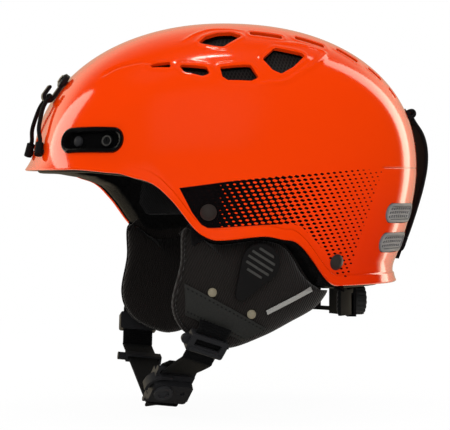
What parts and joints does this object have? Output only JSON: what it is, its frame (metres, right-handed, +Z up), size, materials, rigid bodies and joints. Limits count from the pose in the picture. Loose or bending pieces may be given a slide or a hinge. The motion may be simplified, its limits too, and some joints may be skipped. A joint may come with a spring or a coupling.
{
  "type": "climbing helmet",
  "caption": "Hard-shell climbing and ski touring helmet with foam liner, soft ear pads, chin strap buckle, geared nape cradle, lamp hook with elastic cord and a hinged rear strap.",
  "frame": {"origin": "in the plane of the brim edge, on the middle plane of the helmet, level with the ears along its length: the middle of the head opening", "axes": "+Z up through the crown, -Y out of the front, +X towards the wearer's left"},
  "size_m": [0.2158, 0.2868, 0.2646],
  "materials": {
    "shell": "gloss orange",
    "foam": "matt bead foam",
    "net": "open net",
    "clip": "gloss black",
    "clip_stud": "satin grey",
    "vent_frame": "satin dark grey",
    "vent_mesh": "satin grey",
    "hook": "satin black",
    "steel": "satin",
    "cord": "braided",
    "rubber": "matt",
    "rivet": "satin black",
    "webbing": "woven",
    "pad": "brushed knit",
    "ear_pad": "ribbed knit",
    "grille": "moulded satin",
    "band": "smooth grey",
    "tape": "plain tape",
    "snap": "pale satin",
    "buckle": "satin black",
    "boss": "satin dark grey",
    "cradle": "satin black",
    "pinion": "natural acetal",
    "dial": "ribbed grey",
    "cap": "pale grey"
  },
  "bodies": {
    "helmet": {"outer_shell": "shell", "foam_liner": "foam", "vent_nets": "net", "left_side_clip": "clip", "right_side_clip": "clip", "clip_screws": "clip", "clip_studs": "clip_stud", "rear_vent_frames": "vent_frame", "rear_vent_meshes": "vent_mesh", "lamp_hook": "hook", "lamp_hook_screw": "steel", "lamp_cord": "cord", "cord_ferrules": "rubber", "rear_anchor": "hook", "rear_anchor_pin": "steel", "rear_stud": "hook", "strap_rivets": "rivet", "rivet_washers": "steel", "left_anchor_webbing": "webbing", "right_anchor_webbing": "webbing", "brow_pad": "pad", "crown_pad": "pad", "left_temple_pad": "pad", "right_temple_pad": "pad", "nape_pad": "pad", "left_ear_pad": "ear_pad", "right_ear_pad": "ear_pad", "left_ear_grille": "grille", "right_ear_grille": "grille", "left_pad_band": "band", "right_pad_band": "band", "left_pad_tape": "tape", "right_pad_tape": "tape", "pad_snaps": "snap", "left_chin_webbing": "webbing", "right_chin_webbing": "webbing", "strap_keeper": "buckle", "buckle_socket": "buckle", "socket_magnet": "steel", "cradle_brackets": "cradle", "cradle_pins": "steel"},
    "rear_strap": {"rear_strap_loop": "rubber", "rear_strap": "rubber", "rear_strap_tab": "rubber"},
    "cradle": {"cradle_housing": "cradle"},
    "dial": {"fit_pinion": "pinion", "fit_dial": "dial", "dial_cap": "cap"},
    "left_wing": {"left_wing": "cradle", "left_wing_pad": "pad"},
    "right_wing": {"right_wing": "cradle", "right_wing_pad": "pad"},
    "left_slider": {"left_slider": "buckle"},
    "right_slider": {"right_slider": "buckle"},
    "buckle_tongue": {"buckle_tongue": "buckle", "tongue_magnet": "steel", "buckle_boss": "boss"}
  },
  "joints": [
    {"name": "rear_strap_lift", "type": "hinge", "parent": "helmet", "child": "rear_strap", "pos_m": [0, 0.13265, 0.04196], "axis": [1, 0, 0], "range_deg": [0, 60]},
    {"name": "cradle_tilt", "type": "hinge", "parent": "helmet", "child": "cradle", "pos_m": [0, 0.08871, -0.0585], "axis": [1, 0, 0], "range_deg": [-12, 3]},
    {"name": "fit_dial_turn", "type": "hinge", "parent": "cradle", "child": "dial", "pos_m": [0, 0.08971, -0.0905], "axis": [0, 1, 0], "range_deg": [-100, 100]},
    {"name": "left_wing_slide", "type": "hinge", "parent": "cradle", "child": "left_wing", "pos_m": [0, 0.01371, -0.0905], "axis": [0, 0, 1], "range_deg": [-7, 7]},
    {"name": "right_wing_slide", "type": "hinge", "parent": "cradle", "child": "right_wing", "pos_m": [0, 0.01371, -0.0905], "axis": [0, 0, 1], "range_deg": [-7, 7]},
    {"name": "left_slider_slide", "type": "slide", "parent": "helmet", "child": "left_slider", "axis": [-0.4506, -0.3505, -0.8211], "range_m": [0, 0.005]},
    {"name": "right_slider_slide", "type": "slide", "parent": "helmet", "child": "right_slider", "axis": [0.3505, -0.1001, -0.9312], "range_m": [0, 0.009]},
    {"name": "buckle_release", "type": "slide", "parent": "helmet", "child": "buckle_tongue", "axis": [-0.1146, 0.9865, -0.1167], "range_m": [0, 0.028], "deforming": ["right_chin_webbing"]}
  ],
  "couplings": [
    {"joint": "left_wing_slide", "follows": "fit_dial_turn", "ratio": -0.06579},
    {"joint": "right_wing_slide", "follows": "fit_dial_turn", "ratio": 0.06579}
  ]
}
